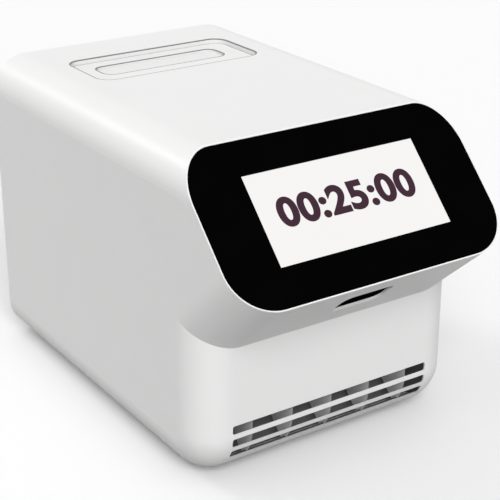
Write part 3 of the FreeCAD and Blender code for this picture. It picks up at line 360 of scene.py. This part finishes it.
def shaded(tree, base, value, stops, share=1.0):
    """A colour multiplied by greys that follow a value, everywhere or where a share says."""
    ramp = tree.nodes.new("ShaderNodeValToRGB")
    points = ramp.color_ramp.elements
    while len(points) < len(stops):
        points.new(1.0)
    for point, (place, tone) in zip(points, stops):
        point.position = place
        point.color = grey(tone)
    tree.links.new(value, ramp.inputs["Fac"])
    return mixed(tree, share, base, ramp.outputs["Color"], blend_type="MULTIPLY")


# Painted shade and painted dark lines on the housing and the ribs

def recess_painted_shade(tree, base):
    """Painted shade on the walls of the recess in the top, and dark painted lines on its eased edges."""
    middle, half = recess_floor()
    reach = Vector((half.x + edge_reach, half.y + edge_reach, recess_most))
    share = within(tree, coordinate(tree, "Object"), middle, reach)
    return shaded(tree, base, axis(tree, coordinate(tree, "Normal"), "Z"), recess_shade_greys, share)


def recess_painted_lines_and_shade(tree, base):
    """Painted dark lines round the rim of the recess and of the slot, and painted shade on the recess's
    floor along the foot of its walls.
    """
    middle, half = recess_floor()
    slot_middle = Vector((middle.x, middle.y + half.y - slot_margin - slot_half.y, middle.z))
    lines = (
        (middle, half, recess_radius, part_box("housing")[1].z, 0, painted_line_width),
        (middle, half, recess_radius, middle.z, -foot_shade_width, 0),
        (slot_middle, slot_half, slot_radius, middle.z, 0, painted_line_width),
    )
    place = coordinate(tree, "Object")
    upward = axis(tree, coordinate(tree, "Normal"), "Z")
    for centre, reach, radius, level, start, end in lines:
        line = ring(tree, place, centre, reach, radius, start, end)
        height = near(tree, axis(tree, place, "Z"), level, line_height)
        base = shaded(tree, base, upward, painted_line_greys, calculated(tree, "MULTIPLY", line, height))
    return base


def slots_painted_shade(tree, base):
    """Painted shade: the housing's inside behind the slots, painted nearly black where shade falls."""
    low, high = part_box("vent_ribs")
    turn = Vector((0, low.y + toe_radius - vent_skin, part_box("housing")[0].z + toe_radius))
    place = coordinate(tree, "Object")
    steps = (("SUBTRACT", turn), ("MULTIPLY", (0, 1, 1)), ("MINIMUM", (0, FAR, 0)))
    inner = near(tree, distance(tree, place, steps), 0.0, toe_radius - vent_skin)
    half = (high - low) / 2
    reach = Vector((half.x + vent_reach, FAR, half.z + vent_reach))
    share = calculated(tree, "MULTIPLY", inner, within(tree, place, (low + high) / 2, reach))
    return shaded(tree, base, share, vent_shade_greys)


def shell_painted_shade(tree, base):
    """The shell's painted shade: in its recess, with dark painted lines there, and on its inside behind
    the slots.
    """
    return slots_painted_shade(tree, recess_painted_lines_and_shade(tree, recess_painted_shade(tree, base)))


def rib_painted_shade(tree, base):
    """Painted shade on the ribs' faces that look forward, towards the light."""
    rearward = axis(tree, coordinate(tree, "Normal"), "Y")
    return shaded(tree, base, share_of(tree, rearward, -1, 1), rib_shade_greys)


# Finishes

def moulded(name, colour, rough, grain=1400.0, depth=0.006 * MM, mottle=0.015, specular=0.4, edges=None):
    """Moulded plastic: a fine spark-eroded grain, a tone that drifts slightly, and painted shade where
    edges is given.
    """
    material, tree = new_material(name)
    place = coordinate(tree, "Object")
    fine = noise(tree, place, grain, detail=2.0)
    drift = noise(tree, place, drift_scale, detail=3.0)
    base = toned(tree, drift, colour, (1 - mottle, 1 + mottle))
    surface(tree, {
        "Base Color": edges(tree, base) if edges else base,
        "Roughness": roughened(tree, fine, rough, moulded_rough_shares),
        "Specular IOR Level": specular,
        "Normal": relief(tree, fine, depth),
    })
    return material


def sheet_metal(name, colour, rough, along=(30.0, 900.0, 900.0), depth=0.003 * MM):
    """Rolled or brushed metal, streaked along one axis."""
    material, tree = new_material(name)
    streak = noise(tree, stretched(tree, along), scale=1.0, detail=5.0, roughness=0.7)
    surface(tree, {
        "Base Color": toned(tree, streak, colour, metal_tone_shares),
        "Metallic": 1.0,
        "Roughness": roughened(tree, streak, rough, metal_rough_shares),
        "Normal": relief(tree, streak, depth),
    })
    return material


def soft_black(name, colour, rough, grain, depth):
    """Rubber or foam: dull, with an open grain."""
    material, tree = new_material(name)
    inputs = {"Scale": grain, "Vector": coordinate(tree, "Object")}
    cell = add_node(tree, "TexVoronoi", inputs, "Distance")
    surface(tree, {
        "Base Color": toned(tree, cell, colour, soft_tone_shares),
        "Roughness": roughened(tree, cell, rough, soft_rough_shares),
        "Specular IOR Level": 0.25,
        "Normal": relief(tree, cell, depth),
    })
    return material


def board(name, mask_colour, normal, level):
    """A circuit board: solder mask over tracks, with black chips above a level along its normal."""
    material, tree = new_material(name)
    place = coordinate(tree, "Object")
    inputs = {"Scale": track_scale, "Vector": place}
    cell = add_node(tree, "TexVoronoi", inputs, "Distance", distance="MANHATTAN")
    comb = calculated(tree, "PINGPONG", cell, track_pitch_share)
    line = calculated(tree, "GREATER_THAN", comb, track_gap_share)
    traced = toned(tree, line, mask_colour, (1.0, track_tone_share))
    height = add_node(tree, "VectorMath", {0: place, 1: normal}, "Value", operation="DOT_PRODUCT")
    above = calculated(tree, "GREATER_THAN", height, level)
    surface(tree, {
        "Base Color": mixed(tree, above, traced, chip_black),
        "Roughness": spread(tree, above, mask_rough, chip_rough),
        "Normal": relief(tree, line, track_height),
    })
    return material


def cover_glass(name):
    """Black-printed glass with an even gloss and the faintest orange peel."""
    material, tree = new_material(name)
    place = coordinate(tree, "Object")
    swirl = noise(tree, place, swirl_scale, detail=2.0)
    surface(tree, {
        "Base Color": mixed(tree, swirl, *glass_tones),
        "Roughness": 0.06,
        "Specular IOR Level": 0.3,
        "Normal": relief(tree, noise(tree, place, peel_scale, detail=1.0), peel_height),
    })
    return material


def dark_window(name):
    """The scanner's black filter window, coated against glare."""
    material, tree = new_material(name)
    tone = noise(tree, coordinate(tree, "Object"), window_scale, detail=2.0)
    surface(tree, {
        "Base Color": mixed(tree, tone, *window_tones),
        "Roughness": 0.5,
        "Specular IOR Level": 0.0,
    })
    return material


def lit_screen(name, colour, glow):
    """The lit display: even light that drifts very slightly."""
    material, tree = new_material(name)
    drift = noise(tree, coordinate(tree, "Object"), screen_scale, detail=1.0)
    surface(tree, {
        "Base Color": toned(tree, drift, colour, screen_unlit_shares),
        "Roughness": 0.35,
        "Specular IOR Level": 0.2,
        "Emission Color": toned(tree, drift, colour, screen_tone_shares),
        "Emission Strength": glow,
    })
    return material


def clear_lens(name):
    """A coated glass lens."""
    material, tree = new_material(name)
    tone = noise(tree, coordinate(tree, "Object"), lens_scale, detail=1.0)
    surface(tree, {
        "Base Color": mixed(tree, tone, *lens_tones),
        "Roughness": 0.02,
        "IOR": 1.5,
        "Transmission Weight": 0.9,
    })
    return material


def flat_cable(name, colour, width_lines):
    """A flat cable with its conductors showing as fine lines across X."""
    material, tree = new_material(name)
    inputs = {"Scale": width_lines, "Vector": coordinate(tree, "Object")}
    wave = add_node(tree, "TexWave", inputs, "Fac", bands_direction="X")
    surface(tree, {
        "Base Color": toned(tree, wave, colour, cable_tone_shares),
        "Roughness": 0.4,
        "Normal": relief(tree, wave, conductor_height),
    })
    return material


inward = (0, 1, -1)
module_normal = outer_face("display_module", inward)[1]
bracket_level = outer_face("display_bracket", inward)[0].dot(module_normal)
chips = board_thickness + chip_start
main_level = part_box("board_standoffs")[1].z + chips
display_level = bracket_level + chips
camera_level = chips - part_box("optics_body")[0].y

finishes = {
    # the shell carries painted shade in its recess and behind the slots, and dark painted lines round the
    # recess
    "shell_white": moulded("shell_white", (0.88, 0.88, 0.875), 0.36, specular=0.3, edges=shell_painted_shade),
    "panel_grey": moulded("panel_grey", (0.60, 0.60, 0.59), 0.55, grain=900.0, depth=0.012 * MM),
    "flap_white": moulded("flap_white", (0.87, 0.87, 0.865), 0.42, specular=0.3),
    "cover_glass": cover_glass("cover_glass"),
    "screen_lit": lit_screen("screen_lit", (0.93, 0.92, 0.91, 1.0), 0.94),
    "module_metal": sheet_metal("module_metal", (0.55, 0.56, 0.57), 0.38),
    "sheet_steel": sheet_metal("sheet_steel", (0.52, 0.53, 0.54), 0.42, (300.0, 300.0, 20.0)),
    "foam_black": soft_black("foam_black", (0.02, 0.02, 0.02), 0.95, 2500.0, 0.08 * MM),
    "window_dark": dark_window("window_dark"),
    "case_black": moulded("case_black", case_tone, 0.48, grain=1100.0, depth=0.01 * MM, mottle=0.12),
    "duct_dark": moulded("duct_dark", (0.15, 0.15, 0.15), 0.8, grain=800.0, depth=0.01 * MM, mottle=0.04),
    # the ribs carry painted shade on their faces that look forward
    "rib_grey": moulded("rib_grey", (0.66, 0.66, 0.66), 0.6, grain=900.0, mottle=0.03, edges=rib_painted_shade),
    "rubber_grey": soft_black("rubber_grey", (0.05, 0.05, 0.052), 0.8, 1600.0, 0.03 * MM),
    "steel_bright": sheet_metal("steel_bright", (0.66, 0.66, 0.67), 0.26, (600.0, 600.0, 600.0)),
    "spring_steel": sheet_metal("spring_steel", (0.42, 0.42, 0.44), 0.3, (900.0, 900.0, 900.0)),
    "chute_grey": moulded("chute_grey", (0.10, 0.105, 0.11), 0.5, grain=900.0, mottle=0.05),
    "lens_clear": clear_lens("lens_clear"),
    "heat_alu": sheet_metal("heat_alu", (0.70, 0.71, 0.72), 0.45, (500.0, 40.0, 500.0)),
    "brass_plain": sheet_metal("brass_plain", (0.62, 0.42, 0.16), 0.3, (80.0, 80.0, 1500.0)),
    "socket_metal": sheet_metal("socket_metal", (0.58, 0.58, 0.59), 0.32, (400.0, 30.0, 400.0)),
    "ribbon_white": flat_cable("ribbon_white", (0.72, 0.74, 0.76), 320.0),
}
boards = {
    "main_board": board("board_main", mask_green, (0, 0, 1), main_level),
    "display_board": board("board_display", mask_green, module_normal, display_level),
    "camera_board": board("board_camera", mask_green, (0, -1, 0), camera_level),
}

for row in frame["record"]["subparts"]:
    node = row["node"]
    finish = boards.get(node) or finishes[row["material_slot"]]
    paint(frame["nodes"][node], finish)


# The figures on the screen

def figure_mesh():
    """The figures as one flat mesh, sized and centred."""
    text = bpy.data.curves.new("figures_outline", "FONT")
    text.body = figures
    text.align_x = "CENTER"
    text.extrude = 0.01  # any thickness, scaled below
    text.offset = figures_swell
    text.space_character = figures_space
    text.resolution_u = figures_steps
    holder = add_object("figures_outline", text)
    bpy.context.view_layer.update()
    mesh = bpy.data.meshes.new_from_object(holder)
    bpy.data.objects.remove(holder)
    low, high = corners([v.co for v in mesh.vertices])
    size = high - low
    mesh.transform(Matrix.Translation(-(low + high) / 2))
    scale = (figures_width / size.x, figures_height / size.y, figures_thickness / size.z)
    mesh.transform(Matrix.Diagonal((*scale, 1.0)))
    return mesh


def on_face(middle, normal, rise, lift):
    """The place of something flat that lies on a face, its X across the reader."""
    across = Vector((1, 0, 0))
    along = normal.cross(across)
    place = Matrix((across, along, normal)).transposed().to_4x4()
    place.translation = middle + along * rise + normal * lift
    return place


screen_middle, screen_normal = outer_face("display_screen", (0, -1, 1))
screen_figures = add_object("screen_figures", figure_mesh())
screen_figures.data.transform(on_face(screen_middle, screen_normal, figures_rise, figures_thickness / 2))
paint(screen_figures, lit_screen("figures_plum", (0.070, 0.032, 0.050, 1.0), 0.75))
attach(screen_figures, "reader")


# Marks and contacts at the back

def new_piece(name, form, material, body):
    """A piece from a finished form, with its finish and the body that it rides on."""
    bmesh.ops.recalc_face_normals(form, faces=form.faces)
    piece = add_object(name, mesh_of(name, form))
    paint(piece, material)
    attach(piece, body)


def add_block(form, size, place):
    """A box of a size, centred on a place, which is a matrix or a point."""
    at = place if isinstance(place, Matrix) else Matrix.Translation(place)
    bmesh.ops.create_cube(form, size=1.0, matrix=at @ Matrix.Diagonal((*size, 1.0)))


def add_ring(form, inner, outer, thickness, place, parts=40):
    """A flat ring round a place's own Z."""
    turns = [2 * math.pi * number / parts for number in range(parts)]
    loops = []
    for radius, level in ((inner, 0), (outer, 0), (outer, thickness), (inner, thickness)):
        points = [Vector((radius * math.cos(turn), radius * math.sin(turn), level)) for turn in turns]
        loops.append([form.verts.new(place @ point) for point in points])
    for number, loop in enumerate(loops):
        after = loops[(number + 1) % len(loops)]
        for step in range(parts):
            following = (step + 1) % parts
            form.faces.new((loop[step], loop[following], after[following], after[step]))


def rocker_marks():
    """A bar and a ring, raised on the two slopes of the rocker."""
    form = bmesh.new()
    bar_middle, bar_normal = outer_face("power_rocker", (0, 1, -rocker_slope), furthest=False)
    ring_middle, ring_normal = outer_face("power_rocker", (0, 1, rocker_slope), furthest=False)
    add_block(form, (mark_line, mark_size, 2 * mark_rise), on_face(bar_middle, bar_normal, 0, 0))
    inner = mark_size / 2 - mark_line
    add_ring(form, inner, mark_size / 2, 2 * mark_rise, on_face(ring_middle, ring_normal, 0, -mark_rise))
    new_piece("rocker_marks", form, mark_white, "rocker")


def network_contacts():
    """Gilt wires that slope down into the network socket from its top."""
    form = bmesh.new()
    low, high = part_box("lan_socket")
    middle = (low.x + high.x) / 2
    turn = Matrix.Rotation(lan_wire_fall, 4, "X")
    for number in range(lan_contacts):
        x = middle + (number - (lan_contacts - 1) / 2) * lan_pitch
        place = Vector((x, high.y - lan_wire_start - lan_wire_length / 2, high.z - lan_wire_drop))
        add_block(form, (lan_wire, lan_wire_length, lan_wire), Matrix.Translation(place) @ turn)
    new_piece("network_contacts", form, gilt, "reader")


def data_tongue():
    """The black insulator over the tongue in the data socket, with four contacts under it."""
    low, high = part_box("usb_socket")
    middle = (low.x + high.x) / 2
    half = (high.x - low.x) / 2 - 3 * usb_wall + skin
    start, end = low.y + usb_tongue, high.y - usb_wall + skin
    centre = Vector((middle, (start + end) / 2, high.z - 3 * usb_wall - usb_tongue / 2))
    form = bmesh.new()
    add_block(form, (2 * half, end - start, usb_tongue + 2 * skin), centre)
    bmesh.ops.bevel(form, geom=form.edges[:], offset=usb_bevel, segments=2, affect="EDGES", profile=0.6)
    new_piece("data_tongue", form, finishes["case_black"], "reader")
    form = bmesh.new()
    under = centre.z - usb_tongue / 2 - skin
    for number in range(usb_contacts):
        x = middle + (number - (usb_contacts - 1) / 2) * usb_pitch
        place = Vector((x, end - usb_contact_length, under))
        add_block(form, (usb_contact, usb_contact_length, 2 * skin), place)
    new_piece("data_contacts", form, gilt, "reader")


def inlet_pin():
    """The bright sleeve of the inlet's pin."""
    low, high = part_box("power_jack")
    form = bmesh.new()
    y = high.y - jack_pin_sink - jack_pin_length / 2
    place = Vector(((low.x + high.x) / 2, y, (low.z + high.z) / 2))
    turn = Matrix.Rotation(math.pi / 2, 4, "X")
    radius = jack_pin + skin
    bmesh.ops.create_cone(
        form, cap_ends=True, segments=32, radius1=radius, radius2=radius, depth=jack_pin_length,
        matrix=Matrix.Translation(place) @ turn,
    )
    tip = [edge for edge in form.edges if all(vertex.co.y > place.y for vertex in edge.verts)]
    bmesh.ops.bevel(form, geom=tip, offset=jack_pin_round, segments=4, affect="EDGES", profile=0.5)
    new_piece("inlet_pin", form, finishes["steel_bright"], "reader")


mark_white = moulded("mark_white", (0.80, 0.80, 0.80), 0.5)
gilt = sheet_metal("gilt", (0.83, 0.62, 0.25), 0.25, (200.0, 60.0, 200.0))
rocker_marks()
network_contacts()
data_tongue()
inlet_pin()


# Floor, light and camera

def seen_directly(tree):
    """One where a ray comes from the camera, a mirror-like surface or through glass."""
    path = tree.nodes.new("ShaderNodeLightPath")
    total = path.outputs["Is Camera Ray"]
    for name in ("Is Glossy Ray", "Is Transmission Ray"):
        total = calculated(tree, "MAXIMUM", total, path.outputs[name])
    return total


def make_floor():
    """A wide pale floor that looks white and keeps the reader's shadow."""
    form = bmesh.new()
    bmesh.ops.create_grid(form, x_segments=1, y_segments=1, size=floor_half)
    floor = add_object("floor", mesh_of("floor", form))
    material, tree = new_material("floor_pale")
    tone = mixed(tree, seen_directly(tree), grey(floor_bounce), grey(floor_tone))
    surface(tree, {"Color": tone}, "BsdfDiffuse")
    paint(floor, material)


def make_sky():
    """A soft sky, a little brighter on the left, that is white at the horizon and dark overhead
    where it is seen."""
    world = bpy.data.worlds.new("studio")
    bpy.context.scene.world = world
    world.use_nodes = True
    tree = world.node_tree
    tree.nodes.clear()
    direction = coordinate(tree, "Generated")
    start, end = ceiling_height_share, 2 * ceiling_height_share
    height = share_of(tree, axis(tree, direction, "Z"), start, end, interpolation_type="SMOOTHSTEP")
    seen = mixed(tree, height, grey(1.0), grey(ceiling_dark))
    sideways = share_of(tree, axis(tree, direction, "X"), -1, 1)
    soft = mixed(tree, sideways, grey(sky_left), grey(sky_right))
    surface(tree, {"Color": mixed(tree, seen_directly(tree), soft, seen)}, "Background", "OutputWorld")


def make_lamp(name, direction, strength, spread_angle):
    """A far, broad lamp in one direction, so that its light is even."""
    lamp = bpy.data.lights.new(name, "SUN")
    lamp.energy = strength
    lamp.angle = math.radians(spread_angle)
    holder = add_object(name, lamp)
    holder.location = direction
    holder.rotation_euler = direction.to_track_quat("Z", "Y").to_euler()


def make_camera():
    """The photograph's view."""
    lens = bpy.data.cameras.new("camera")
    lens.lens = camera_lens
    lens.sensor_width = camera_sensor
    lens.clip_start = camera_near
    lens.clip_end = camera_far
    camera = add_object("camera", lens)
    camera.location = camera_place
    camera.rotation_euler = (math.radians(90 - camera_fall), 0, -math.radians(camera_azimuth))
    bpy.context.scene.camera = camera


make_floor()
make_sky()
for lamp_values in lamps:
    make_lamp(*lamp_values)
make_camera()
bpy.context.scene.view_settings.view_transform = "Standard"
